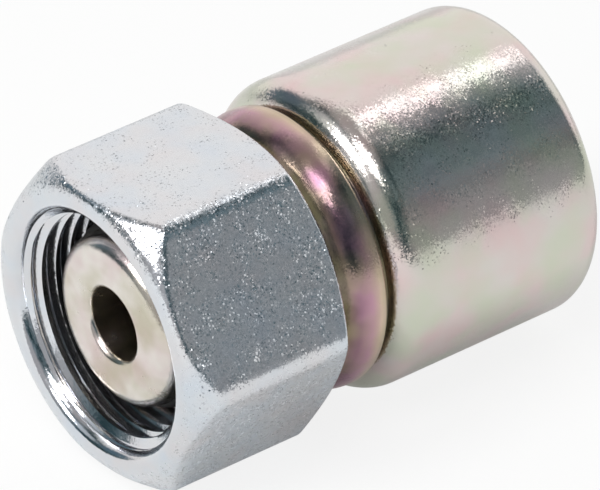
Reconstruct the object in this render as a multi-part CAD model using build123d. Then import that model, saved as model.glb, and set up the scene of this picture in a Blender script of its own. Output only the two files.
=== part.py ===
from build123d import *
import os
from math import cos, radians, tan

# Crimp hose fitting: a swivel nut on a cone-nosed insert, with its ferrule not yet crimped.
# All sizes are millimetres. X runs along the axis, from the sealing nose to the hose end, and
# Z is up. The origin is the centre of the nose's end face. The nut lies with one flat down.

# Swivel nut
THREAD_D = 22.0  # the plain wall that carries the thread has its major diameter
NUT_WALL = 2.5  # from that wall to a flat
NUT_LENGTH = 17.0
NUT_REACH = 2.0  # how far the nut's mouth stands ahead of the nose
END_RING_INSET = 0.3  # from a flat to the ring that the corner chamfer leaves on an end face
FRONT_CHAMFER_DEG = 45.0
REAR_CHAMFER_DEG = 30.0
THREAD_DEPTH = 9.4  # from the mouth to the run-out groove
MOUTH_CHAMFER = 0.55  # on the radius
MOUTH_HALF_DEG = 30.0
RUNOUT_DEPTH = 0.3
RUNOUT_WIDTH = 1.4
SHOULDER_HALF_DEG = 45.0
NUT_REAR_BORE_EDGE = 0.4

# Running fit of the nut on the insert's neck, and the wire that holds the two together
NUT_CLEARANCE = 0.08  # on the radius, between neck and nut
NUT_END_GAP = 0.3  # between the nut's rear face and the collar
WIRE_D = 2.0
WIRE_CLEARANCE = 0.06  # all round, between the wire and its two half grooves
WIRE_FROM_NUT_REAR = 2.1
WIRE_TURN_DEG = 340.0
WIRE_HOOK_INSET = 1.6  # from a flat to the end of the wire's hook
FEED_HOLE_CLEARANCE = 0.15  # on the radius, round the wire's hooked end
FEED_HOLE_DEG = 30.0  # the hole goes through the upper rear flat, this far above level

# Sealing nose
NOSE_D = 15.2  # of the cone, where it would meet the plane of the end face
NOSE_EDGE_R = 0.7
CONE_HALF_DEG = 12.0
CONE_LENGTH = 7.5  # from the end face to the neck, which is as wide as the cone is there
SEAL_CORD_D = 2.0
SEAL_FROM_NOSE = 3.2
SEAL_PROUD = 0.3  # how far the seal stands above the cone
SEAL_SIDE_CLEARANCE = 0.2
SEAL_SEAT_CLEARANCE = 0.02

# Flow bore
BORE_D = 6.6
BORE_NOSE_EDGE = 0.3
BORE_TAIL_EDGE = 0.5

# Collar, and the neck behind it that the ferrule is locked on
COLLAR_D = 25.8
COLLAR_LENGTH = 4.7
COLLAR_FACE_WIDTH = 0.5  # flat front face of the collar, between neck and dome
COLLAR_CREST_LENGTH = 0.35  # plain stretch between the dome and the collar's rear face
COLLAR_REAR_R = 0.25
SLOT_WIDTH = 0.6  # the open slot between collar and ferrule
SLOT_DEPTH = 0.8  # below the collar's crest, down to the boss that the ferrule sits against
LOCK_GROOVE_D = 14.4
LOCK_BEAD_HEIGHT = 0.9  # above the groove
LOCK_BEAD_LENGTH = 1.2
LOCK_BEAD_EDGE = 0.3
FLANGE_CLEARANCE = 0.05

# Hose tail
TAIL_WALL = 1.9  # from the flow bore to a barb's crest
BARB_DEPTH = 0.5
BARB_PITCH = 2.9
BARB_LAND = 0.9
BARB_STEEP = 0.2  # length of each barb's steep side
TAIL_START_GAP = 0.6  # plain stretch between the lock bead and the first barb
TAIL_TIP_EDGE = 0.4
TAIL_INSET = 0.7  # how far the tail's end lies inside the ferrule's open end

# Ferrule
GRIP_D = 21.8  # clear diameter inside the grip ridges
FERRULE_WALL = 3.4  # from there to the outside
FERRULE_LENGTH = 22.3
FERRULE_FRONT_R = 1.7
FERRULE_REAR_R = 1.4
FLANGE_THICKNESS = 2.4
RIDGE_DEPTH = 0.9
RIDGE_PITCH = 2.9
RIDGE_LAND = 0.8
RIDGE_STEEP = 0.3
FERRULE_MOUTH_EDGE = 0.8

# Places along the axis
NUT_FRONT_X = -NUT_REACH
NUT_REAR_X = NUT_FRONT_X + NUT_LENGTH
WIRE_X = NUT_REAR_X - WIRE_FROM_NUT_REAR
COLLAR_FRONT_X = NUT_REAR_X + NUT_END_GAP
COLLAR_REAR_X = COLLAR_FRONT_X + COLLAR_LENGTH
FERRULE_FRONT_X = COLLAR_REAR_X + SLOT_WIDTH
FLANGE_REAR_X = FERRULE_FRONT_X + FLANGE_THICKNESS
FERRULE_REAR_X = FERRULE_FRONT_X + FERRULE_LENGTH
TAIL_END_X = FERRULE_REAR_X - TAIL_INSET

# Radii, measured from the axis
THREAD_R = THREAD_D / 2
FLAT_R = THREAD_R + NUT_WALL
NECK_R = NOSE_D / 2 + CONE_LENGTH * tan(radians(CONE_HALF_DEG))
NUT_BORE_R = NECK_R + NUT_CLEARANCE
WIRE_RING_R = (NECK_R + NUT_BORE_R) / 2
WIRE_GROOVE_R = WIRE_D / 2 + WIRE_CLEARANCE
COLLAR_R = COLLAR_D / 2
LOCK_GROOVE_R = LOCK_GROOVE_D / 2
TAIL_R = BORE_D / 2 + TAIL_WALL
FERRULE_R = GRIP_D / 2 + FERRULE_WALL


def cone_radius(x):
    """Radius of the sealing cone at a distance x behind the nose's end face."""
    return NOSE_D / 2 + x * tan(radians(CONE_HALF_DEG))


def outline(points):
    """A flat face from pairs of distance along the axis and radius."""
    return make_face(Polyline(*points, close=True))


def round_corner(face, x, radius_there, rounding):
    """The face with its corner nearest to that place rounded."""
    corner = face.vertices().sort_by_distance(Vector(x, radius_there, 0))[0]
    return fillet(corner, rounding)


def turned(face, turn=360.0):
    """A turned piece: the face spun about the X axis."""
    return revolve(face, Axis.X, revolution_arc=turn)


def ring(x, ring_radius, section_radius, turn=360.0):
    """A ring of round section about the X axis."""
    return turned(Pos(x, ring_radius) * Circle(section_radius), turn)


def radial_rod(x, radius, start, end):
    """A round rod square to the axis at x, in the direction of the nut's feed hole."""
    rod = Pos(x, 0, 0) * Cylinder(
        radius, end - start, rotation=(-90, 0, 0), align=(Align.CENTER, Align.CENTER, Align.MIN)
    )
    return Rot(FEED_HOLE_DEG, 0, 0) * Pos(0, start, 0) * rod


def nut_outside():
    """Hexagon bar with a flat down, its corners chamfered at both ends."""
    bar = Pos(NUT_FRONT_X, 0, 0) * extrude(
        Plane.YZ * RegularPolygon(FLAT_R, 6, major_radius=False), NUT_LENGTH
    )
    ring_r = FLAT_R - END_RING_INSET
    beyond_corners = FLAT_R / cos(radians(30)) + END_RING_INSET
    front_depth = (beyond_corners - ring_r) * tan(radians(FRONT_CHAMFER_DEG))
    rear_depth = (beyond_corners - ring_r) * tan(radians(REAR_CHAMFER_DEG))
    envelope = outline(
        [
            (NUT_FRONT_X, 0),
            (NUT_FRONT_X, ring_r),
            (NUT_FRONT_X + front_depth, beyond_corners),
            (NUT_REAR_X - rear_depth, beyond_corners),
            (NUT_REAR_X, ring_r),
            (NUT_REAR_X, 0),
        ]
    )
    return bar & turned(envelope)


def nut_inside():
    """Everything bored out of the nut: mouth, thread, run-out, shoulder and rear bore."""
    runout_r = THREAD_R + RUNOUT_DEPTH
    mouth_depth = MOUTH_CHAMFER / tan(radians(MOUTH_HALF_DEG))
    thread_end = NUT_FRONT_X + THREAD_DEPTH
    runout_end = thread_end + RUNOUT_WIDTH
    shoulder_end = runout_end + (runout_r - NUT_BORE_R) / tan(radians(SHOULDER_HALF_DEG))
    return turned(
        outline(
            [
                (NUT_FRONT_X, 0),
                (NUT_FRONT_X, THREAD_R + MOUTH_CHAMFER),
                (NUT_FRONT_X + mouth_depth, THREAD_R),
                (thread_end, THREAD_R),
                (thread_end + RUNOUT_DEPTH, runout_r),
                (runout_end, runout_r),
                (shoulder_end, NUT_BORE_R),
                (NUT_REAR_X - NUT_REAR_BORE_EDGE, NUT_BORE_R),
                (NUT_REAR_X, NUT_BORE_R + NUT_REAR_BORE_EDGE),
                (NUT_REAR_X, 0),
            ]
        )
    )


def swivel_nut():
    """The nut, with its half of the wire's groove and the hole that the wire is fed through."""
    feed_hole_r = WIRE_D / 2 + FEED_HOLE_CLEARANCE
    feed_hole = radial_rod(WIRE_X, feed_hole_r, NUT_BORE_R - WIRE_D / 2, 2 * FLAT_R)
    return nut_outside() - nut_inside() - ring(WIRE_X, WIRE_RING_R, WIRE_GROOVE_R) - feed_hole


def retaining_wire():
    """Open ring of wire that locks the nut to the insert, its end hooked into the feed hole."""
    coil = Rot(FEED_HOLE_DEG, 0, 0) * ring(WIRE_X, WIRE_RING_R, WIRE_D / 2, WIRE_TURN_DEG)
    hook = radial_rod(WIRE_X, WIRE_D / 2, WIRE_RING_R, FLAT_R - WIRE_HOOK_INSET)
    bend = Rot(FEED_HOLE_DEG, 0, 0) * Pos(WIRE_X, WIRE_RING_R, 0) * Sphere(WIRE_D / 2)
    return coil + bend + hook


def seal_ring():
    """Rubber ring in the cone's groove."""
    return ring(SEAL_FROM_NOSE, seal_ring_radius(), SEAL_CORD_D / 2)


def seal_ring_radius():
    """Radius of the middle of the seal's cord."""
    return cone_radius(SEAL_FROM_NOSE) + SEAL_PROUD - SEAL_CORD_D / 2


def seal_groove_points():
    """The groove in the cone, from its nose side to its neck side."""
    half_width = SEAL_CORD_D / 2 + SEAL_SIDE_CLEARANCE
    front = SEAL_FROM_NOSE - half_width
    rear = SEAL_FROM_NOSE + half_width
    floor_radius = seal_ring_radius() - SEAL_CORD_D / 2 - SEAL_SEAT_CLEARANCE
    return [
        (front, cone_radius(front)),
        (front, floor_radius),
        (rear, floor_radius),
        (rear, cone_radius(rear)),
    ]


def barb_points(start, end):
    """Hose barbs from start to end: steep on the nose side, easy on the hose side."""
    crest = TAIL_R
    root = crest - BARB_DEPTH
    count = int((end - start - BARB_STEEP) / BARB_PITCH)
    points = [(start, root)]
    for index in range(count):
        x = end - (count - index) * BARB_PITCH
        points += [
            (x, root),
            (x + BARB_STEEP, crest),
            (x + BARB_STEEP + BARB_LAND, crest),
        ]
    return points + [(end, root)]


def insert():
    """The turned insert: nose, neck, domed collar, lock groove, hose tail and flow bore."""
    bead_front = FLANGE_REAR_X + FLANGE_CLEARANCE
    bead_rear = bead_front + LOCK_BEAD_LENGTH
    bead_r = LOCK_GROOVE_R + LOCK_BEAD_HEIGHT
    barbs_start = bead_rear + TAIL_START_GAP
    barbs_end = TAIL_END_X - TAIL_TIP_EDGE
    barbs = barb_points(barbs_start, barbs_end)
    tail_root = barbs[0][1]
    ahead = [(0, 0), (0, NOSE_D / 2)]
    ahead += seal_groove_points()
    ahead += [
        (CONE_LENGTH, NECK_R),
        (COLLAR_FRONT_X, NECK_R),
        (COLLAR_FRONT_X, NECK_R + COLLAR_FACE_WIDTH),
    ]
    behind = [
        (COLLAR_REAR_X - COLLAR_CREST_LENGTH, COLLAR_R),
        (COLLAR_REAR_X, COLLAR_R),
        (COLLAR_REAR_X, COLLAR_R - SLOT_DEPTH),
        (FERRULE_FRONT_X, COLLAR_R - SLOT_DEPTH),
        (FERRULE_FRONT_X, LOCK_GROOVE_R),
        (bead_front, LOCK_GROOVE_R),
        (bead_front, bead_r),
        (bead_rear - LOCK_BEAD_EDGE, bead_r),
        (bead_rear, bead_r - LOCK_BEAD_EDGE),
        (bead_rear, tail_root),
    ]
    behind += barbs
    behind += [(TAIL_END_X, tail_root - TAIL_TIP_EDGE), (TAIL_END_X, 0), (0, 0)]
    dome = TangentArc(behind[0], ahead[-1], tangent=(-1, 0))
    face = make_face(Polyline(*ahead) + dome + Polyline(*behind))
    face = round_corner(face, 0, NOSE_D / 2, NOSE_EDGE_R)
    face = round_corner(face, COLLAR_REAR_X, COLLAR_R, COLLAR_REAR_R)
    return turned(face) - flow_bore() - ring(WIRE_X, WIRE_RING_R, WIRE_GROOVE_R)


def flow_bore():
    """The bore through the insert, with its edges broken at both ends."""
    bore_r = BORE_D / 2
    return turned(
        outline(
            [
                (0, 0),
                (0, bore_r + BORE_NOSE_EDGE),
                (BORE_NOSE_EDGE, bore_r),
                (TAIL_END_X - BORE_TAIL_EDGE, bore_r),
                (TAIL_END_X, bore_r + BORE_TAIL_EDGE),
                (TAIL_END_X, 0),
            ]
        )
    )


def ridge_points(start, end):
    """Grip ridges inside the ferrule, from its open end forward: steep on the hose side."""
    crest = GRIP_D / 2
    root = crest + RIDGE_DEPTH
    count = int((start - end - RIDGE_LAND) / RIDGE_PITCH)
    points = []
    for index in range(count):
        x = start - index * RIDGE_PITCH
        points += [
            (x, crest),
            (x - RIDGE_LAND, crest),
            (x - RIDGE_LAND - RIDGE_STEEP, root),
            (x - RIDGE_PITCH + RIDGE_DEPTH, root),
        ]
    return points + [(start - count * RIDGE_PITCH, crest), (end, crest)]


def ferrule():
    """The crimp shell: a cup with a locking flange in front and ridges inside."""
    flange_bore_r = LOCK_GROOVE_R + FLANGE_CLEARANCE
    points = [
        (FERRULE_FRONT_X, flange_bore_r),
        (FERRULE_FRONT_X, FERRULE_R),
        (FERRULE_REAR_X, FERRULE_R),
        (FERRULE_REAR_X, GRIP_D / 2 + FERRULE_MOUTH_EDGE),
    ]
    points += ridge_points(FERRULE_REAR_X - FERRULE_MOUTH_EDGE, FLANGE_REAR_X)
    points += [(FLANGE_REAR_X, flange_bore_r)]
    face = outline(points)
    face = round_corner(face, FERRULE_FRONT_X, FERRULE_R, FERRULE_FRONT_R)
    face = round_corner(face, FERRULE_REAR_X, FERRULE_R, FERRULE_REAR_R)
    return turned(face)


PIECES = {
    "swivel_nut": swivel_nut,
    "retaining_wire": retaining_wire,
    "seal_ring": seal_ring,
    "insert": insert,
    "ferrule": ferrule,
}


def main():
    """Writes each piece to its own file."""
    os.makedirs("parts", exist_ok=True)
    for name, make in PIECES.items():
        export_step(make(), f"parts/{name}.step")


if __name__ == "__main__":
    main()
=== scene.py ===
"""Looks of the crimp hose fitting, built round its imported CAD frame.

The fitting is a zinc plated swivel nut on a turned insert, with a crimp ferrule behind the insert's collar.
The nut, the insert and the ferrule are drawn again at the CAD solids' sizes, with rounder edges, and the nut
gets its thread. The retaining wire and the seal ring keep their CAD solids. Every piece gets a worked finish.
"""

import logging
import math
from dataclasses import dataclass
from enum import Enum

import bmesh
import bpy
from mathutils import Matrix, Vector


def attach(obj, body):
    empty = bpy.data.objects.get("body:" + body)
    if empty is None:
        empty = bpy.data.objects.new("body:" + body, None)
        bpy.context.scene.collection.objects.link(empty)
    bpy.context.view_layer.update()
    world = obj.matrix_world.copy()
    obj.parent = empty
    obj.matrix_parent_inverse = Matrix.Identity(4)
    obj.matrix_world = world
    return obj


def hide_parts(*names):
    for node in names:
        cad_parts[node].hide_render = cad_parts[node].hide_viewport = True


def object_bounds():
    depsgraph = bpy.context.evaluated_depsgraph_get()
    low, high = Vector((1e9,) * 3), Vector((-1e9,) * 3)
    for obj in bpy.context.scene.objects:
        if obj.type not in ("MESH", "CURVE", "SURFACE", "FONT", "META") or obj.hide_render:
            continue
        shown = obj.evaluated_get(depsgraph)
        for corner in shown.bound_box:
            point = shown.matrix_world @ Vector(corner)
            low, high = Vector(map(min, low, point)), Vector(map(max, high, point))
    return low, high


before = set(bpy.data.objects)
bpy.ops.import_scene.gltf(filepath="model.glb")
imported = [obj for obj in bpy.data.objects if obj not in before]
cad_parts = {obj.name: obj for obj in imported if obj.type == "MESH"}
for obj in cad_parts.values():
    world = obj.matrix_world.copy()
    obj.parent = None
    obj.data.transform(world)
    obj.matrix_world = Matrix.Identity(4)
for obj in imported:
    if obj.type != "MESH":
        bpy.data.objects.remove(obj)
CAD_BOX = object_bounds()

LOG = logging.getLogger("hose_fitting")
MM = 0.001
MERGE_M = 1e-6
SMOOTH_DEG = 32.0
ROUNDING_STEPS = 12
BEND_STEPS = 20
SIDES = 6
# Where a noise's clouds start and where they are full
CLOUD = (0.42, 0.68)
MOTTLE = (0.35, 0.65)
TINT_SEED = 3.7


class Slot(Enum):
    """The record's material slots."""

    NUT = "nut_plating"
    INSERT = "insert_plating"
    FERRULE = "ferrule_plating"
    WIRE = "wire_steel"
    SEAL = "seal_rubber"


class Body(Enum):
    """The bodies that pieces ride on."""

    HOSE_END = "hose_end"
    NUT = "nut"


def srgb(code: str) -> tuple[float, float, float, float]:
    """Turns an sRGB hex colour into Blender's linear colour.

    Args:
        code: six hex digits after a hash sign.

    Returns:
        Linear red, green and blue, and an alpha of 1.
    """
    parts = [int(code[i : i + 2], 16) / 255 for i in (1, 3, 5)]
    linear = [p / 12.92 if p <= 0.04045 else ((p + 0.055) / 1.055) ** 2.4 for p in parts]
    return (*linear, 1.0)


def add_node(
    tree: bpy.types.NodeTree,
    kind: str,
    settings: dict | None = None,
    inputs: dict | None = None,
    stops: list[tuple[float, tuple]] | None = None,
) -> bpy.types.Node:
    """Adds one node with its settings, its inputs' values or links, and a ramp's stops.

    Args:
        tree: the node tree that gets the node.
        kind: the node's Blender type.
        settings: the node's own properties by name.
        inputs: a value, or the socket to link from, by the input's name or number.
        stops: positions and colours of a colour ramp.

    Returns:
        The new node.
    """
    made = tree.nodes.new(kind)
    for name, value in (settings or {}).items():
        setattr(made, name, value)
    for name, value in (inputs or {}).items():
        if isinstance(value, bpy.types.NodeSocket):
            tree.links.new(value, made.inputs[name])
        else:
            made.inputs[name].default_value = value
    if stops:
        elements = made.color_ramp.elements
        while len(elements) < len(stops):
            elements.new(0.5)
        for element, (place, colour) in zip(elements, stops):
            element.position = place
            element.color = colour
    return made


def per_mm(size_mm: float) -> float:
    """Scale of a texture on Object coordinates.

    Args:
        size_mm: how far across its grains are.

    Returns:
        The scale.
    """
    return 1 / (size_mm * MM)


def noise(
    tree: bpy.types.NodeTree, place: bpy.types.NodeSocket, size_mm: float, detail: float, **more: float
) -> bpy.types.NodeSocket:
    """Adds a noise.

    Args:
        tree: the material's node tree.
        place: the coordinates.
        size_mm: how far across the noise's grains are.
        detail: how many finer layers it has.
        **more: the node's other inputs by name.

    Returns:
        The noise's value.
    """
    inputs = {"Vector": place, "Scale": per_mm(size_mm), "Detail": detail, **more}
    return add_node(tree, "ShaderNodeTexNoise", inputs=inputs).outputs["Fac"]


def ranged(
    tree: bpy.types.NodeTree,
    value: bpy.types.NodeSocket,
    source: tuple[float, float],
    target: tuple[float, float],
    blend: str = "LINEAR",
) -> bpy.types.NodeSocket:
    """Maps a value from one range to another, and holds it at the ends.

    Args:
        tree: the node tree.
        value: the value's socket.
        source: the range it is in.
        target: the range it goes to.
        blend: how it runs between the ends.

    Returns:
        The mapped value.
    """
    names = ("From Min", "From Max", "To Min", "To Max")
    inputs = {"Value": value, **dict(zip(names, (*source, *target)))}
    return add_node(tree, "ShaderNodeMapRange", {"interpolation_type": blend}, inputs).outputs["Result"]


def number(tree: bpy.types.NodeTree, operation: str, *values) -> bpy.types.NodeSocket:
    """Works out a number.

    Args:
        tree: the node tree.
        operation: the Math node's operation.
        *values: its numbers or sockets.

    Returns:
        The number's socket.
    """
    return add_node(tree, "ShaderNodeMath", {"operation": operation}, dict(enumerate(values))).outputs[0]


def vector(tree: bpy.types.NodeTree, operation: str, inputs: dict) -> bpy.types.Node:
    """Works out a vector, or a number from vectors.

    Args:
        tree: the node tree.
        operation: the Vector Math node's operation.
        inputs: its values or sockets by number or name.

    Returns:
        The node.
    """
    return add_node(tree, "ShaderNodeVectorMath", {"operation": operation}, inputs)


def mixed(tree: bpy.types.NodeTree, share, first, second) -> bpy.types.NodeSocket:
    """Mixes two colours.

    Args:
        tree: the node tree.
        share: how much of the second colour there is.
        first: the first colour.
        second: the second colour.

    Returns:
        The mixed colour.
    """
    inputs = {"Factor": share, 6: first, 7: second}
    return add_node(tree, "ShaderNodeMix", {"data_type": "RGBA"}, inputs).outputs[2]


def bumped(
    tree: bpy.types.NodeTree, height: bpy.types.NodeSocket, height_um: float, **more
) -> bpy.types.NodeSocket:
    """Adds a bump.

    Args:
        tree: the material's node tree.
        height: the height's socket, from 0 to 1.
        height_um: how high 1 is, in micrometres.
        **more: the node's other inputs by name.

    Returns:
        The bumped normal.
    """
    inputs = {"Strength": 1.0, "Distance": height_um * MM * MM, "Height": height, **more}
    return add_node(tree, "ShaderNodeBump", inputs=inputs).outputs["Normal"]


def new_material(name: str) -> tuple[bpy.types.Material, bpy.types.NodeTree, bpy.types.Node]:
    """Makes an empty node material.

    Args:
        name: the finish's name.

    Returns:
        The material, its node tree and its output node.
    """
    material = bpy.data.materials.new(name)
    material.use_nodes = True
    tree = material.node_tree
    tree.nodes.clear()
    return material, tree, add_node(tree, "ShaderNodeOutputMaterial")


def dress(piece: bpy.types.Object, material: bpy.types.Material) -> None:
    """Gives a piece one material, in place of any it has.

    Args:
        piece: the piece.
        material: its material.
    """
    if piece.material_slots:
        for material_slot in piece.material_slots:
            material_slot.material = material
    else:
        piece.data.materials.append(material)


def new_piece(name: str, mesh: bmesh.types.BMesh, smooth_deg: float = SMOOTH_DEG) -> bpy.types.Object:
    """Turns a bmesh into a smoothly shaded object, whose edges sharper than smooth_deg stay crisp.

    Args:
        name: the piece's name.
        mesh: the bmesh, which is freed.
        smooth_deg: the angle in degrees.

    Returns:
        The new object, at the origin.
    """
    data = bpy.data.meshes.new(name)
    mesh.to_mesh(data)
    mesh.free()
    piece = bpy.data.objects.new(name, data)
    bpy.context.scene.collection.objects.link(piece)
    smooth(piece, smooth_deg)
    return piece


def smooth(piece: bpy.types.Object, smooth_deg: float = SMOOTH_DEG) -> None:
    """Shades a piece smoothly but for its sharp edges.

    Args:
        piece: the piece.
        smooth_deg: the angle from which an edge is sharp.
    """
    piece.data.shade_smooth()
    piece.data.set_sharp_from_angle(angle=math.radians(smooth_deg))


def settle(piece: bpy.types.Object) -> None:
    """Applies a piece's modifiers to its mesh.

    Args:
        piece: the piece.
    """
    graph = bpy.context.evaluated_depsgraph_get()
    done = bpy.data.meshes.new_from_object(piece.evaluated_get(graph))
    piece.modifiers.clear()
    piece.data = done
    done.name = piece.name
    smooth(piece)


@dataclass(frozen=True)
class Corner:
    """A corner of a turned section: its place along the axis, radius and rounding, in millimetres.

    The run from it to the next corner is in parts, or bent round a centre.
    """

    x: float
    r: float
    rounding: float = 0.0
    parts: int = 1
    centre: tuple[float, float] | None = None

    def place(self) -> Vector:
        """Works out where the corner is.

        Returns:
            The place in metres, in the XY plane.
        """
        return Vector((self.x, self.r, 0.0)) * MM


def bend(mesh: bmesh.types.BMesh, start: Vector, centre: Vector, stop: Vector, steps: int) -> None:
    """Draws an arc, the shorter way round a centre.

    Args:
        mesh: the mesh that gets the arc.
        start: where the arc starts.
        centre: the arc's centre.
        stop: where the arc ends.
        steps: how many edges it has.
    """
    first, last = start - centre, stop - centre
    turn = math.atan2(last.y, last.x) - math.atan2(first.y, first.x)
    turn = (turn + math.pi) % math.tau - math.pi
    bmesh.ops.spin(
        mesh,
        geom=[mesh.verts.new(start)],
        axis=(0.0, 0.0, 1.0),
        cent=centre,
        angle=turn,
        steps=steps,
        use_merge=False,
    )


def lay_section(mesh: bmesh.types.BMesh, corners: list[Corner]) -> None:
    """Lays out a turned piece's half section as a closed loop of edges, with its corners rounded.

    Args:
        mesh: the empty mesh that gets the loop.
        corners: the section's corners in order.
    """
    entries, exits = [], []
    for before, corner, after in zip(corners[-1:] + corners[:-1], corners, corners[1:] + corners[:1]):
        here = corner.place()
        back = (before.place() - here).normalized()
        ahead = (after.place() - here).normalized()
        half = back.angle(ahead) / 2
        reach = corner.rounding * MM / math.tan(half)
        entries.append(here + back * reach)
        exits.append(here + ahead * reach)
        if corner.rounding:
            centre = here + (back + ahead).normalized() * corner.rounding * MM / math.sin(half)
            bend(mesh, entries[-1], centre, exits[-1], ROUNDING_STEPS)
    for corner, start, stop in zip(corners, exits, entries[1:] + entries[:1]):
        if corner.centre:
            bend(mesh, start, Vector((*corner.centre, 0.0)) * MM, stop, BEND_STEPS)
        else:
            run = mesh.edges.new((mesh.verts.new(start), mesh.verts.new(stop)))
            if corner.parts > 1:
                bmesh.ops.subdivide_edges(mesh, edges=[run], cuts=corner.parts - 1)
    bmesh.ops.remove_doubles(mesh, verts=mesh.verts[:], dist=MERGE_M)


def turned_piece(name: str, corners: list[Corner], steps: int) -> bpy.types.Object:
    """Turns a section a full round about the X axis.

    Args:
        name: the piece's name.
        corners: the section's corners in order.
        steps: how many parts the round has.

    Returns:
        The new object.
    """
    mesh = bmesh.new()
    lay_section(mesh, corners)
    bmesh.ops.spin(
        mesh,
        geom=mesh.verts[:] + mesh.edges[:],
        axis=(1.0, 0.0, 0.0),
        cent=(0.0, 0.0, 0.0),
        angle=math.tau,
        steps=steps,
        use_merge=True,
    )
    bmesh.ops.remove_doubles(mesh, verts=mesh.verts[:], dist=MERGE_M)
    bmesh.ops.recalc_face_normals(mesh, faces=mesh.faces[:])
    return new_piece(name, mesh)


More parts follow.
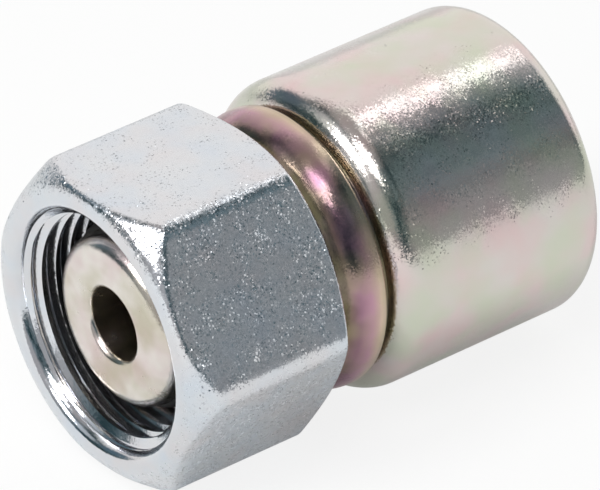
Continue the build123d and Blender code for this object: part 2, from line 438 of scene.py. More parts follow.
@dataclass(frozen=True)
class PlatedSteel:
    """Turned steel, zinc plated and passivated: a satin metal with a thin film that tints what it mirrors.

    Attributes:
        name: the finish's name.
        film_and_shade: the film's colour from place to place along the axis, in millimetres, with painted
            shade where a ramp darkens it; one entry is all over.
        tints: two colours that cloud the film.
        tint_mm: how far across the clouds are.
        tint_share: how strong they are.
        roughness: the metal's roughness.
        grain_mm: how far across the plating's soft grain is.
        grain_um: how high it is.
        facet_mm: how far across a crystal's facet is.
        facet_tilt: how far most facets lean.
        glint_tilt: how far the few facets that glint lean.
        glint_share: how many they are.
        turning_mm: how far apart the lathe lines are.
        turning_um: how high they are.
        crystals_from_r: the radius outside which the crystals are full, in millimetres.
        crystals_fade: the width over which they fade inwards.
        crystals_inside: how much of them is left inside.
        patch_mm: how far across the patches of more and fewer crystals are.
        patch_range: how much of the lean the barest and the fullest patch have.
        frost_mm: how far across the mottles of the roughness are.
        frost_range: the least and greatest roughness, as shares of roughness.
    """

    name: str
    film_and_shade: tuple[tuple[float, str], ...]
    tints: tuple[str, str]
    tint_mm: float
    tint_share: float
    roughness: float
    grain_mm: float
    grain_um: float
    facet_mm: float
    facet_tilt: float
    glint_tilt: float
    glint_share: float
    turning_mm: float
    turning_um: float
    crystals_from_r: float = 0.0
    crystals_fade: float = 0.6
    crystals_inside: float = 0.15
    patch_mm: float = 2.0
    patch_range: tuple[float, float] = (0.3, 1.5)
    frost_mm: float = 2.6
    frost_range: tuple[float, float] = (0.8, 1.25)

    def material(self) -> bpy.types.Material:
        """Builds the finish.

        Returns:
            The material.
        """
        material, tree, output = new_material(self.name)
        place = add_node(tree, "ShaderNodeTexCoord").outputs["Object"]
        radial = vector(tree, "MULTIPLY", {0: place, 1: (0.0, 1.0, 1.0)}).outputs["Vector"]
        radius = vector(tree, "LENGTH", {0: radial}).outputs["Value"]
        outside = ranged(
            tree,
            radius,
            ((self.crystals_from_r - self.crystals_fade) * MM, self.crystals_from_r * MM),
            (self.crystals_inside, 1.0),
            "SMOOTHSTEP",
        )
        shader = add_node(
            tree,
            "ShaderNodeBsdfPrincipled",
            inputs={
                "Base Color": self._colour(tree, place),
                "Metallic": 1.0,
                "Roughness": self._roughness(tree, place, outside),
                "Normal": self._normal(tree, place, radius, outside),
            },
        )
        tree.links.new(shader.outputs["BSDF"], output.inputs["Surface"])
        return material

    def _film_and_shade(self, tree: bpy.types.NodeTree, place: bpy.types.NodeSocket) -> tuple | bpy.types.NodeSocket:
        """Works out the film's colour along the axis, with any painted shade in it.

        Args:
            tree: the material's node tree.
            place: the Object coordinates.

        Returns:
            The colour where it is the same all over, otherwise its socket.
        """
        if len(self.film_and_shade) == 1:
            return srgb(self.film_and_shade[0][1])
        first, last = self.film_and_shade[0][0], self.film_and_shade[-1][0]
        axial = add_node(tree, "ShaderNodeSeparateXYZ", inputs={"Vector": place}).outputs["X"]
        along = ranged(tree, axial, (first * MM, last * MM), (0.0, 1.0))
        stops = [((x - first) / (last - first), srgb(code)) for x, code in self.film_and_shade]
        return add_node(tree, "ShaderNodeValToRGB", inputs={"Fac": along}, stops=stops).outputs["Color"]

    def _colour(self, tree: bpy.types.NodeTree, place: bpy.types.NodeSocket) -> bpy.types.NodeSocket:
        """Clouds of two tints over the film's colour and its painted shade.

        Args:
            tree: the material's node tree.
            place: the Object coordinates.

        Returns:
            The colour's socket.
        """
        colour = self._film_and_shade(tree, place)
        for turn, tint in enumerate(self.tints, 1):
            cloud = add_node(
                tree,
                "ShaderNodeTexNoise",
                {"noise_dimensions": "4D"},
                {"Vector": place, "W": TINT_SEED * turn, "Scale": per_mm(self.tint_mm), "Detail": 2.0},
            )
            share = ranged(tree, cloud.outputs["Fac"], CLOUD, (0.0, self.tint_share))
            colour = mixed(tree, share, colour, srgb(tint))
        return colour

    def _roughness(
        self, tree: bpy.types.NodeTree, place: bpy.types.NodeSocket, outside: bpy.types.NodeSocket
    ) -> bpy.types.NodeSocket:
        """Mottled roughness: a frost of crystals that scatters what it mirrors.

        Args:
            tree: the material's node tree.
            place: the Object coordinates.
            outside: how much crystal there is.

        Returns:
            The roughness's socket.
        """
        least, most = (self.roughness * share for share in self.frost_range)
        mottle = noise(tree, place, self.frost_mm, 4.0, Roughness=0.65)
        frost = ranged(tree, mottle, MOTTLE, (0.0, most - least))
        return number(tree, "MULTIPLY_ADD", frost, outside, least)

    def _normal(
        self,
        tree: bpy.types.NodeTree,
        place: bpy.types.NodeSocket,
        radius: bpy.types.NodeSocket,
        outside: bpy.types.NodeSocket,
    ) -> bpy.types.NodeSocket:
        """Lathe lines round the axis, with the plating's grain and its leaning crystal facets over them.

        Args:
            tree: the material's node tree.
            place: the Object coordinates.
            radius: the distance from the axis.
            outside: how much crystal there is.

        Returns:
            The normal's socket.
        """
        axial = add_node(tree, "ShaderNodeSeparateXYZ", inputs={"Vector": place}).outputs["X"]
        profile = add_node(tree, "ShaderNodeCombineXYZ", inputs={"X": axial, "Y": radius}).outputs["Vector"]
        turned = bumped(tree, noise(tree, profile, self.turning_mm, 1.0), self.turning_um)
        grain = noise(tree, place, self.grain_mm, 2.0, Roughness=0.6)
        grained = bumped(tree, grain, self.grain_um, Normal=turned)
        crystals = add_node(
            tree, "ShaderNodeTexVoronoi", inputs={"Vector": place, "Scale": per_mm(self.facet_mm)}
        )
        pick = add_node(
            tree,
            "ShaderNodeTexWhiteNoise",
            {"noise_dimensions": "3D"},
            {"Vector": crystals.outputs["Position"]},
        )
        lean = ranged(
            tree,
            pick.outputs["Value"],
            (1 - self.glint_share, 1.0),
            (self.facet_tilt, self.glint_tilt),
        )
        patchy = ranged(tree, noise(tree, place, self.patch_mm, 2.0), MOTTLE, self.patch_range)
        lean = number(tree, "MULTIPLY", number(tree, "MULTIPLY", lean, outside), patchy)
        way = vector(tree, "SUBTRACT", {0: crystals.outputs["Color"], 1: (0.5, 0.5, 0.5)})
        tilt = vector(tree, "SCALE", {0: way.outputs["Vector"], "Scale": lean})
        tilted = vector(tree, "ADD", {0: grained, 1: tilt.outputs["Vector"]})
        return vector(tree, "NORMALIZE", {0: tilted.outputs["Vector"]}).outputs["Vector"]


@dataclass(frozen=True)
class MouldedRubber:
    """Moulded nitrile rubber: black, matt, with a slight bloom."""

    name: str = "moulded_nitrile_rubber"
    dark: str = "#161615"
    bloom: str = "#262624"
    bloom_range: tuple[float, float] = (0.35, 0.75)
    roughness: float = 0.62
    pore_mm: float = 0.8
    pore_um: float = 4.0

    def material(self) -> bpy.types.Material:
        """Builds the finish.

        Returns:
            The material.
        """
        material, tree, output = new_material(self.name)
        place = add_node(tree, "ShaderNodeTexCoord").outputs["Object"]
        cloud = noise(tree, place, self.pore_mm, 3.0)
        stops = list(zip(self.bloom_range, (srgb(self.dark), srgb(self.bloom))))
        colour = add_node(tree, "ShaderNodeValToRGB", inputs={"Fac": cloud}, stops=stops)
        shader = add_node(
            tree,
            "ShaderNodeBsdfPrincipled",
            inputs={
                "Base Color": colour.outputs["Color"],
                "Roughness": self.roughness,
                "Normal": bumped(tree, cloud, self.pore_um),
            },
        )
        tree.links.new(shader.outputs["BSDF"], output.inputs["Surface"])
        return material


# On all the finishes below, the crystals and the lathe lines are drawn coarser than they are: at their real
# size they would be finer than a pixel, and the metal would look polished.

# Bright zinc with a blue passivation: a pale silver, frosted by crystals that sparkle everywhere but in the
# turned mouth.
NUT_ZINC = PlatedSteel(
    name="blue_passivated_zinc",
    film_and_shade=((0.0, "#DADDE1"),),
    tints=("#D0D8E2", "#DCD8DA"),
    tint_mm=4.0,
    tint_share=0.7,
    roughness=0.15,
    grain_mm=0.3,
    grain_um=12.0,
    facet_mm=0.13,
    facet_tilt=0.14,
    glint_tilt=0.72,
    glint_share=0.46,
    turning_mm=0.25,
    turning_um=1.0,
    crystals_from_r=12.9,
    frost_mm=0.5,
    frost_range=(0.8, 2.1),
)
# The insert's plating is thinner, and its passivation is warm. Its colour goes from a pale nose to a painted
# shade of olive brown next to the nut, which stands in for the nut's dark rear mirrored in the collar. It
# then turns to pink film on the collar's slope, paler towards the groove, and to a painted shade of grey
# brown in the slot.
INSERT_ZINC = PlatedSteel(
    name="warm_zinc_and_painted_shade",
    film_and_shade=(
        (0.0, "#E2DCD6"),
        (9.0, "#D2C8BC"),
        # Painted shade: the dark olive stops next to the nut, where the collar mirrors the nut's dark rear.
        (15.3, "#66604A"),
        (16.4, "#7C7058"),
        (17.4, "#8E6A7C"),
        (18.4, "#B98EA0"),
        (19.3, "#D2BCA8"),
        (19.9, "#B8AA96"),
        # Painted shade: the slot's dark grey brown, for the shade down in the groove.
        (20.1, "#6C665C"),
        (21.0, "#6C665C"),
    ),
    tints=("#C9A4AC", "#A9A47C"),
    tint_mm=3.6,
    tint_share=0.5,
    roughness=0.22,
    grain_mm=0.25,
    grain_um=6.0,
    facet_mm=0.15,
    facet_tilt=0.04,
    glint_tilt=0.12,
    glint_share=0.2,
    turning_mm=0.16,
    turning_um=3.0,
)
# The ferrule is bright, with pink, green and yellow in its film.
FERRULE_ZINC = PlatedSteel(
    name="bright_passivated_zinc",
    film_and_shade=((0.0, "#D8D1CD"),),
    tints=("#DDC4C4", "#CCD2BE"),
    tint_mm=5.0,
    tint_share=0.8,
    roughness=0.17,
    grain_mm=0.3,
    grain_um=6.0,
    facet_mm=0.12,
    facet_tilt=0.08,
    glint_tilt=0.26,
    glint_share=0.3,
    turning_mm=0.3,
    turning_um=1.5,
)
# Drawn spring wire: plain grey steel, its draw marks too fine to see.
WIRE_STEEL = PlatedSteel(
    name="drawn_spring_wire",
    film_and_shade=((0.0, "#A6A6A3"),),
    tints=("#9C9A94", "#B0B0AE"),
    tint_mm=1.5,
    tint_share=0.6,
    roughness=0.3,
    grain_mm=0.15,
    grain_um=2.0,
    facet_mm=0.15,
    facet_tilt=0.05,
    glint_tilt=0.1,
    glint_share=0.1,
    turning_mm=0.2,
    turning_um=1.0,
)


@dataclass
class SwivelNut:
    """The hexagon nut: its body with softened edges, and the thread inside. Sizes in millimetres.

    The body has the CAD solid's sizes. It replaces that solid because forging rounds the hexagon's edges.
    """

    front_x: float = -2.0
    rear_x: float = 15.0
    flat_r: float = 13.5
    ring_r: float = 13.2
    front_chamfer_deg: float = 45.0
    rear_chamfer_deg: float = 30.0
    mouth_r: float = 11.55
    mouth_end_x: float = -1.047
    wall_r: float = 11.0
    wall_end_x: float = 7.4
    groove_r: float = 11.3
    groove_end_x: float = 8.8
    shoulder_end_x: float = 10.826
    bore_r: float = 9.274
    bore_edge: float = 0.4
    wire_x: float = 12.9
    wire_ring_r: float = 9.234
    wire_groove_r: float = 1.06
    feed_hole_r: float = 1.15
    feed_hole_deg: float = 30.0
    mouth_rounding: float = 0.9
    ring_rounding: float = 2.2
    rear_rounding: float = 0.6
    corner_softness: float = 1.3
    chamfer_softness: float = 0.5
    blank_spare: float = 0.3
    crest_margin: float = 1.0
    turned_wall: float = 0.5
    drill_length: float = 8.0
    drill_start: float = 1.0
    drill_segments: int = 48
    steps_a_flat: int = 90
    pitch: float = 1.5
    ridge_height: float = 0.812
    crest_width: float = 0.375
    base_width: float = 1.3125
    sunk: float = 0.05
    lead_in_x: float = -1.05
    run_out_x: float = 6.2
    steps_a_turn: int = 96
    profile_parts: int = 4
    longest_plain_edge: float = 0.3

    def build(self) -> None:
        """Builds the body and the thread, and dresses both."""
        finish = NUT_ZINC.material()
        body = self._body()
        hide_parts("swivel_nut")
        thread = self._thread()
        for piece in (body, thread):
            dress(piece, finish)
            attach(piece, Body.NUT.value)
            LOG.info("%s: %d faces, %s", piece.name, len(piece.data.polygons), finish.name)

    def _body(self) -> bpy.types.Object:
        """Spins a sixth of the nut, presses its flat, and repeats it round the axis.

        Returns:
            The nut's body.
        """
        mesh = bmesh.new()
        lay_section(mesh, self._section())
        bmesh.ops.spin(
            mesh,
            geom=mesh.verts[:] + mesh.edges[:],
            axis=(1.0, 0.0, 0.0),
            cent=(0.0, 0.0, 0.0),
            angle=math.tau / SIDES,
            steps=self.steps_a_flat,
            use_merge=False,
        )
        for vert in mesh.verts:
            radius = math.hypot(vert.co.y, vert.co.z)
            if radius > (self.mouth_r + self.turned_wall) * MM:
                pressed = self._outer_radius(radius / MM, math.atan2(vert.co.z, vert.co.y))
                vert.co.y *= pressed * MM / radius
                vert.co.z *= pressed * MM / radius
        sixth = mesh.verts[:] + mesh.edges[:] + mesh.faces[:]
        for turn in range(1, SIDES):
            copy = bmesh.ops.duplicate(mesh, geom=sixth)["geom"]
            bmesh.ops.rotate(
                mesh,
                cent=(0.0, 0.0, 0.0),
                matrix=Matrix.Rotation(math.tau * turn / SIDES, 3, "X"),
                verts=[part for part in copy if isinstance(part, bmesh.types.BMVert)],
            )
        bmesh.ops.remove_doubles(mesh, verts=mesh.verts[:], dist=MERGE_M)
        bmesh.ops.recalc_face_normals(mesh, faces=mesh.faces[:])
        body = new_piece("nut_body", mesh)
        self._drill_feed_hole(body)
        return body

    def _section(self) -> list[Corner]:
        """Lists the nut's half section as a round blank, with many parts where the flats are pressed in.

        Returns:
            The corners.
        """
        rise = self.flat_r / math.cos(math.pi / SIDES) + self.blank_spare - self.ring_r
        crest_r = self.ring_r + rise
        front_crest = self.front_x + rise * math.tan(math.radians(self.front_chamfer_deg))
        rear_crest = self.rear_x - rise * math.tan(math.radians(self.rear_chamfer_deg))
        groove_half = math.sqrt(self.wire_groove_r**2 - (self.bore_r - self.wire_ring_r) ** 2)
        return [
            Corner(self.front_x, self.mouth_r, rounding=self.mouth_rounding, parts=2),
            Corner(self.front_x, self.ring_r, rounding=self.ring_rounding, parts=28),
            Corner(front_crest, crest_r, parts=5),
            Corner(front_crest + self.crest_margin, crest_r, parts=8),
            Corner(rear_crest - self.crest_margin, crest_r, parts=5),
            Corner(rear_crest, crest_r, parts=22),
            Corner(self.rear_x, self.ring_r, rounding=self.rear_rounding, parts=2),
            Corner(self.rear_x, self.bore_r + self.bore_edge),
            Corner(self.rear_x - self.bore_edge, self.bore_r),
            Corner(self.wire_x + groove_half, self.bore_r, centre=(self.wire_x, self.wire_ring_r)),
            Corner(self.wire_x - groove_half, self.bore_r, parts=2),
            Corner(self.shoulder_end_x, self.bore_r, parts=2),
            Corner(self.groove_end_x, self.groove_r),
            Corner(self.wall_end_x + self.groove_r - self.wall_r, self.groove_r),
            Corner(self.wall_end_x, self.wall_r, parts=5),
            Corner(self.mouth_end_x, self.wall_r),
        ]

    def _outer_radius(self, radius: float, angle: float) -> float:
        """Works out the nut's outside radius, with the hexagon's corners and the chamfers' edges rounded.

        Args:
            radius: the turned blank's radius.
            angle: angle about the axis from +Y, in radians.

        Returns:
            The radius in millimetres.
        """
        faced = [math.cos(angle - math.tau * (side + 0.5) / SIDES) for side in range(SIDES)]
        flats = [self.flat_r / share for share in faced if share > math.cos(math.tau / SIDES)]
        hexagon = flats[0]
        for other in flats[1:]:
            hexagon = self._soft_min(hexagon, other, self.corner_softness)
        return self._soft_min(hexagon, radius, self.chamfer_softness)

    @staticmethod
    def _soft_min(first: float, second: float, softness: float) -> float:
        """Takes the lesser of two radii, and blends them where they are close.

        Args:
            first: a radius.
            second: another radius.
            softness: how close they are where the blend starts.

        Returns:
            The radius.
        """
        near = max(softness - abs(first - second), 0.0) / softness
        return min(first, second) - near * near * softness / 4

    def _drill_feed_hole(self, body: bpy.types.Object) -> None:
        """Drills the hole that the retaining wire is fed through.

        Args:
            body: the nut's body.
        """
        turn = Matrix.Rotation(math.radians(self.feed_hole_deg - 90), 4, "X")
        middle = self.bore_r - self.drill_start + self.drill_length / 2
        drill_mesh = bmesh.new()
        bmesh.ops.create_cone(
            drill_mesh,
            cap_ends=True,
            segments=self.drill_segments,
            radius1=self.feed_hole_r * MM,
            radius2=self.feed_hole_r * MM,
            depth=self.drill_length * MM,
            matrix=Matrix.Translation((self.wire_x * MM, 0.0, 0.0))
            @ turn
            @ Matrix.Translation((0.0, 0.0, middle * MM)),
        )
        drill = new_piece("feed_hole_drill", drill_mesh)
        cut = body.modifiers.new("feed_hole", "BOOLEAN")
        cut.operation = "DIFFERENCE"
        cut.solver = "MANIFOLD"
        cut.object = drill
        settle(body)
        bpy.data.objects.remove(drill)

    def _thread(self) -> bpy.types.Object:
        """Spins the ridge's section into a right-handed helix, then trims it at both ends.

        Returns:
            The thread ridge.
        """
        turns = (self.run_out_x - self.lead_in_x) / self.pitch + 1.5
        steps = round(turns * self.steps_a_turn)
        start = self.lead_in_x - self.pitch
        half_base, half_crest = self.base_width / 2, self.crest_width / 2
        crest_r = self.wall_r - self.ridge_height
        corners = [
            (start - half_base, self.wall_r + self.sunk),
            (start - half_base, self.wall_r),
            (start - half_crest, crest_r),
            (start + half_crest, crest_r),
            (start + half_base, self.wall_r),
            (start + half_base, self.wall_r + self.sunk),
        ]
        mesh = bmesh.new()
        section = [mesh.verts.new((x * MM, r * MM, 0.0)) for x, r in corners]
        face = mesh.faces.new(section)
        fine = [edge for edge in face.edges if edge.calc_length() > self.longest_plain_edge * MM]
        bmesh.ops.subdivide_edges(mesh, edges=fine, cuts=self.profile_parts - 1)
        bmesh.ops.spin(
            mesh,
            geom=mesh.verts[:] + mesh.edges[:] + mesh.faces[:],
            axis=(1.0, 0.0, 0.0),
            cent=(0.0, 0.0, 0.0),
            dvec=(self.pitch * MM / self.steps_a_turn, 0.0, 0.0),
            angle=math.tau * steps / self.steps_a_turn,
            steps=steps,
            use_merge=False,
            use_duplicate=False,
        )
        for vert in mesh.verts:
            radius = math.hypot(vert.co.y, vert.co.z)
            clear = max(radius, self._inner_limit(vert.co.x / MM) * MM)
            vert.co.y *= clear / radius
            vert.co.z *= clear / radius
        for end_x, outward in ((self.lead_in_x, -1.0), (self.run_out_x, 1.0)):
            bmesh.ops.bisect_plane(
                mesh,
                geom=mesh.verts[:] + mesh.edges[:] + mesh.faces[:],
                plane_co=(end_x * MM, 0.0, 0.0),
                plane_no=(outward, 0.0, 0.0),
                clear_outer=True,
            )
        bmesh.ops.remove_doubles(mesh, verts=mesh.verts[:], dist=MERGE_M)
        bmesh.ops.holes_fill(mesh, edges=[edge for edge in mesh.edges if edge.is_boundary])
        bmesh.ops.recalc_face_normals(mesh, faces=mesh.faces[:])
        return new_piece("nut_thread_ridge", mesh)

    def _inner_limit(self, x: float) -> float:
        """Works out the radius inside which no thread stands: cones of 45 degrees cut it at both ends.

        Args:
            x: place along the axis, in millimetres.

        Returns:
            The radius in millimetres.
        """
        inside = min(x - self.lead_in_x, self.run_out_x - x)
        return self.wall_r + self.sunk if inside < 0 else self.wall_r - inside


@dataclass
class HoseEnd:
    """The insert, the ferrule and the seal ring, which turn as one. Sizes in millimetres.

    The insert and the ferrule have the CAD solids' sizes, but the ferrule stays a hair inside the CAD box.
    They replace the solids because the real nose, bore and shoulders are well rounded.
    """

    bore_r: float = 3.3
    bore_rounding: float = 0.7
    nose_r: float = 7.6
    nose_rounding: float = 1.6
    cone_deg: float = 12.0
    cone_end_x: float = 7.5
    neck_r: float = 9.194
    seal_start_x: float = 2.0
    seal_end_x: float = 4.4
    seal_floor_r: float = 6.56
    wire_x: float = 12.9
    wire_ring_r: float = 9.234
    wire_groove_r: float = 1.06
    collar_x: float = 15.3
    collar_face: float = 0.5
    collar_r: float = 12.9
    crest_x: float = 19.3
    collar_end_x: float = 20.0
    collar_rounding: float = 0.35
    slot_floor_r: float = 12.1
    slot_end_x: float = 20.6
    lock_r: float = 7.2
    bead_x: float = 23.05
    bead_r: float = 8.1
    bead_length: float = 1.2
    bead_edge: float = 0.3
    barb_crest_r: float = 5.2
    barb_depth: float = 0.5
    barb_pitch: float = 2.9
    barb_land: float = 0.9
    barb_steep: float = 0.2
    barbs: int = 5
    tail_edge: float = 0.4
    tail_end_x: float = 42.2
    tail_bore_edge: float = 0.5
    ferrule_r: float = 14.298
    shoulder_rounding: float = 2.6
    rim_rounding: float = 1.8
    ferrule_end_x: float = 42.899
    flange_r: float = 7.25
    flange_end_x: float = 23.0
    grip_r: float = 10.9
    rim_edge: float = 0.8
    ridges: int = 6
    ridge_depth: float = 0.9
    ridge_pitch: float = 2.9
    ridge_land: float = 0.8
    ridge_steep: float = 0.3
    steps: int = 192

    def build(self) -> None:
        """Builds and dresses the insert and the ferrule, and dresses the seal ring's CAD solid."""
        for node, section, finish, slot in (
            ("insert", self._ahead() + self._behind(), INSERT_ZINC, Slot.INSERT),
            ("ferrule", self._ferrule(), FERRULE_ZINC, Slot.FERRULE),
        ):
            piece = turned_piece(f"{node}_body", section, self.steps)
            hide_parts(node)
            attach(piece, Body.HOSE_END.value)
            dress(piece, finish.material())
            LOG.info("%s: %d faces, %s", piece.name, len(piece.data.polygons), finish.name)
        rubber = MouldedRubber()
        dress(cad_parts["seal_ring"], rubber.material())
        LOG.info("seal_ring: CAD solid, %s", rubber.name)

    def _ferrule(self) -> list[Corner]:
        """Lists the crimp shell's section: flange, shoulder, barrel, open rim and grip ridges inside.

        Returns:
            The corners.
        """
        ridges_end = self.ferrule_end_x - self.rim_edge
        corners = [
            Corner(self.slot_end_x, self.flange_r, parts=3),
            Corner(self.slot_end_x, self.ferrule_r, rounding=self.shoulder_rounding, parts=8),
            Corner(self.ferrule_end_x, self.ferrule_r, rounding=self.rim_rounding),
            Corner(self.ferrule_end_x, self.grip_r + self.rim_edge),
        ]
        for ridge in range(self.ridges):
            x = ridges_end - ridge * self.ridge_pitch
            corners += [
                Corner(x, self.grip_r),
                Corner(x - self.ridge_land, self.grip_r),
                Corner(x - self.ridge_land - self.ridge_steep, self.grip_r + self.ridge_depth),
                Corner(x - self.ridge_pitch + self.ridge_depth, self.grip_r + self.ridge_depth),
            ]
        return corners + [
            Corner(ridges_end - self.ridges * self.ridge_pitch, self.grip_r),
            Corner(self.flange_end_x, self.grip_r),
            Corner(self.flange_end_x, self.flange_r),
        ]

    def _ahead(self) -> list[Corner]:
        """Lists the section from the flow bore's mouth over the nose to the neck.

        Returns:
            The corners.
        """
        slope = math.tan(math.radians(self.cone_deg))
        groove_half = math.sqrt(self.wire_groove_r**2 - (self.wire_ring_r - self.neck_r) ** 2)
        return [
            Corner(0.0, self.bore_r, rounding=self.bore_rounding, parts=3),
            Corner(0.0, self.nose_r, rounding=self.nose_rounding),
            Corner(self.seal_start_x, self.nose_r + self.seal_start_x * slope),
            Corner(self.seal_start_x, self.seal_floor_r),
            Corner(self.seal_end_x, self.seal_floor_r),
            Corner(self.seal_end_x, self.nose_r + self.seal_end_x * slope),
            Corner(self.cone_end_x, self.neck_r, parts=2),
            Corner(self.wire_x - groove_half, self.neck_r, centre=(self.wire_x, self.wire_ring_r)),
            Corner(self.wire_x + groove_half, self.neck_r),
        ]

    def _behind(self) -> list[Corner]:
        """Lists the section from the collar over the lock bead and the barbed tail to the flow bore.

        Returns:
            The corners.
        """
        rise = self.collar_r - self.neck_r - self.collar_face
        run = self.crest_x - self.collar_x
        dome_r = (run**2 + rise**2) / (2 * rise)
        bead_end = self.bead_x + self.bead_length
        root = self.barb_crest_r - self.barb_depth
        tail_start = self.tail_end_x - self.tail_edge
        corners = [
            Corner(self.collar_x, self.neck_r),
            Corner(
                self.collar_x, self.neck_r + self.collar_face, centre=(self.crest_x, self.collar_r - dome_r)
            ),
            Corner(self.crest_x, self.collar_r),
            Corner(self.collar_end_x, self.collar_r, rounding=self.collar_rounding),
            Corner(self.collar_end_x, self.slot_floor_r),
            Corner(self.slot_end_x, self.slot_floor_r),
            Corner(self.slot_end_x, self.lock_r),
            Corner(self.bead_x, self.lock_r),
            Corner(self.bead_x, self.bead_r),
            Corner(bead_end - self.bead_edge, self.bead_r),
            Corner(bead_end, self.bead_r - self.bead_edge),
            Corner(bead_end, root),
        ]
        for barb in range(self.barbs):
            x = tail_start - (self.barbs - barb) * self.barb_pitch
            corners += [
                Corner(x, root),
                Corner(x + self.barb_steep, self.barb_crest_r),
                Corner(x + self.barb_steep + self.barb_land, self.barb_crest_r),
            ]
        return corners + [
            Corner(tail_start, root),
            Corner(self.tail_end_x, root - self.tail_edge),
            Corner(self.tail_end_x, self.bore_r + self.tail_bore_edge),
            Corner(self.tail_end_x - self.tail_bore_edge, self.bore_r, parts=6),
        ]


@dataclass
class RetainingWire:
    """The wire that holds the nut on the insert."""

    def build(self) -> None:
        """Dresses the CAD solid."""
        dress(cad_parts["retaining_wire"], WIRE_STEEL.material())
        LOG.info("retaining_wire: CAD solid, %s", WIRE_STEEL.name)


@dataclass(frozen=True)
class Wall:
    """A lit patch of the room, full inside its inner radius and gone outside its outer one, in degrees."""

    azimuth: float
    elevation: float
    inner: float
    outer: float
    light: tuple[float, float, float]


def direction(azimuth: float, elevation: float) -> Vector:
    """Turns two angles in degrees into a unit vector.

    Args:
        azimuth: from +X towards +Y.
        elevation: upwards.

    Returns:
        The vector.
    """
    a, e = math.radians(azimuth), math.radians(elevation)
    return Vector((math.cos(a) * math.cos(e), math.sin(a) * math.cos(e), math.sin(e)))


@dataclass(frozen=True)
class Softbox:
    """A square soft lamp. Angles in degrees, lengths in metres, power in watts."""

    name: str
    azimuth: float
    elevation: float
    distance: float
    size: float
    power: float


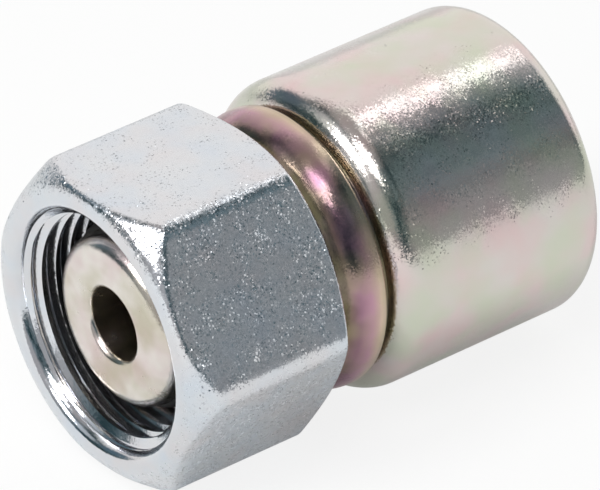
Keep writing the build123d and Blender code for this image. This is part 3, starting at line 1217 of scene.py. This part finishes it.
@dataclass
class Studio:
    """Floor, world, lamps and camera."""

    floor_radius: float = 3.0
    floor_segments: int = 96
    floor_colour: str = "#F4F4F2"
    target: tuple[float, float, float] = (0.020273, -0.000259, -0.000066)
    camera_place: tuple[float, float, float] = (-0.338137, -0.472847, 0.378489)
    camera_right: tuple[float, float, float] = (0.787745, -0.615584, -0.02267)
    camera_up: tuple[float, float, float] = (0.34641, 0.412259, 0.84264)
    camera_back: tuple[float, float, float] = (-0.50937, -0.671639, 0.538)
    lens: float = 488.97
    sensor: float = 36.0
    room_dark: tuple[float, float, float] = (0.012, 0.035, 0.042)
    room_lit: tuple[float, float, float] = (0.2, 0.27, 0.3)
    clutter_size: float = 4.5
    walls: tuple[Wall, ...] = (
        Wall(-68.0, -6.0, 6.0, 48.0, (0.36, 0.37, 0.38)),
        Wall(-165.0, 14.0, 22.0, 42.0, (0.42, 0.42, 0.43)),
        Wall(150.0, 42.0, 8.0, 22.0, (0.5, 0.53, 0.56)),
        Wall(60.0, 88.0, 12.0, 34.0, (0.42, 0.4, 0.4)),
        Wall(20.0, 12.0, 30.0, 52.0, (1.0, 1.0, 1.0)),
        Wall(60.0, 15.0, 36.0, 60.0, (1.03, 1.01, 0.99)),
        Wall(113.0, 20.0, 8.0, 20.0, (0.1, 0.16, 0.2)),
        Wall(175.0, 38.0, 8.0, 15.0, (1.6, 1.6, 1.6)),
        Wall(-5.0, 69.0, 2.0, 7.0, (1.5, 1.5, 1.5)),
    )
    softboxes: tuple[Softbox, ...] = (
        Softbox("key", 175.0, 40.0, 0.55, 0.18, 1.4),
        Softbox("top", 16.0, 57.0, 0.55, 0.1, 0.05),
        Softbox("front", -140.0, 62.0, 0.60, 0.25, 1.0),
    )
    floor_white_seen: float = 0.85
    floor_white_mirrored: float = 0.22

    def build(self) -> None:
        """Sets up everything that isn't the fitting."""
        self._floor()
        self._world()
        for box in self.softboxes:
            self._lamp(box)
        self._camera()
        bpy.context.scene.view_settings.view_transform = "Standard"
        LOG.info("studio: floor, world, %d lamps, camera", len(self.softboxes))

    def _floor(self) -> None:
        """A pale disc under the fitting, white to the camera and to what mirrors it, with the shadow kept."""
        mesh = bmesh.new()
        bmesh.ops.create_circle(
            mesh,
            cap_ends=True,
            segments=self.floor_segments,
            radius=self.floor_radius,
            matrix=Matrix.Translation((0.0, 0.0, CAD_BOX[0].z)),
        )
        data = bpy.data.meshes.new("floor")
        mesh.to_mesh(data)
        mesh.free()
        floor = bpy.data.objects.new("floor", data)
        bpy.context.scene.collection.objects.link(floor)
        material, tree, output = new_material("pale_studio_floor")
        matt = add_node(tree, "ShaderNodeBsdfDiffuse", inputs={"Color": srgb(self.floor_colour)})
        white = add_node(tree, "ShaderNodeEmission", inputs={"Color": srgb("#FFFFFF"), "Strength": 1.0})
        path = add_node(tree, "ShaderNodeLightPath")
        through = number(tree, "MAXIMUM", path.outputs["Is Glossy Ray"], path.outputs["Is Transmission Ray"])
        mirrored = number(tree, "MULTIPLY", through, self.floor_white_mirrored)
        seen = path.outputs["Is Camera Ray"]
        share = number(tree, "MULTIPLY_ADD", seen, self.floor_white_seen, mirrored)
        mix = add_node(
            tree,
            "ShaderNodeMixShader",
            inputs={0: share, 1: matt.outputs["BSDF"], 2: white.outputs["Emission"]},
        )
        tree.links.new(mix.outputs[0], output.inputs["Surface"])
        dress(floor, material)

    def _world(self) -> None:
        """The room that the metal mirrors: a dim cluttered ground with lit patches over it.

        The patches stand where the photo's reflections show its softboxes and cards.
        """
        world = bpy.data.worlds.new("studio")
        bpy.context.scene.world = world
        world.use_nodes = True
        tree = world.node_tree
        tree.nodes.clear()
        output = add_node(tree, "ShaderNodeOutputWorld")
        way = add_node(tree, "ShaderNodeTexCoord").outputs["Generated"]
        clutter = add_node(
            tree, "ShaderNodeTexNoise", inputs={"Vector": way, "Scale": self.clutter_size, "Detail": 1.0}
        )
        light = add_node(
            tree,
            "ShaderNodeValToRGB",
            inputs={"Fac": clutter.outputs["Fac"]},
            stops=[(place, (*tone, 1.0)) for place, tone in zip(CLOUD, (self.room_dark, self.room_lit))],
        ).outputs["Color"]
        for wall in self.walls:
            across = vector(tree, "DOT_PRODUCT", {0: way, 1: direction(wall.azimuth, wall.elevation)})
            edge = tuple(math.cos(math.radians(angle)) for angle in (wall.outer, wall.inner))
            share = ranged(tree, across.outputs["Value"], edge, (0.0, 1.0), "SMOOTHSTEP")
            light = mixed(tree, share, light, (*wall.light, 1.0))
        background = add_node(tree, "ShaderNodeBackground", inputs={"Color": light, "Strength": 1.0})
        tree.links.new(background.outputs["Background"], output.inputs["Surface"])

    def _lamp(self, box: Softbox) -> None:
        """Adds one soft lamp, turned to the fitting.

        Args:
            box: the lamp's place, size and power.
        """
        data = bpy.data.lights.new(box.name, "AREA")
        data.shape = "SQUARE"
        data.size = box.size
        data.energy = box.power
        lamp = bpy.data.objects.new(box.name, data)
        way = direction(box.azimuth, box.elevation)
        lamp.location = Vector(self.target) + way * box.distance
        lamp.rotation_mode = "QUATERNION"
        lamp.rotation_quaternion = (-way).to_track_quat("-Z", "Y")
        bpy.context.scene.collection.objects.link(lamp)

    def _camera(self) -> None:
        """Puts the camera at the photograph's viewing angle."""
        data = bpy.data.cameras.new("camera")
        data.sensor_width = self.sensor
        data.lens = self.lens
        camera = bpy.data.objects.new("camera", data)
        turn = Matrix((self.camera_right, self.camera_up, self.camera_back)).transposed()
        camera.matrix_world = Matrix.Translation(self.camera_place) @ turn.to_4x4()
        bpy.context.scene.collection.objects.link(camera)
        bpy.context.scene.camera = camera


def main() -> None:
    """Builds the studio and each sub-assembly in order."""
    logging.basicConfig(level=logging.INFO, format="%(name)s: %(message)s")
    Studio().build()
    SwivelNut().build()
    RetainingWire().build()
    HoseEnd().build()


if __name__ == "__main__":
    main()
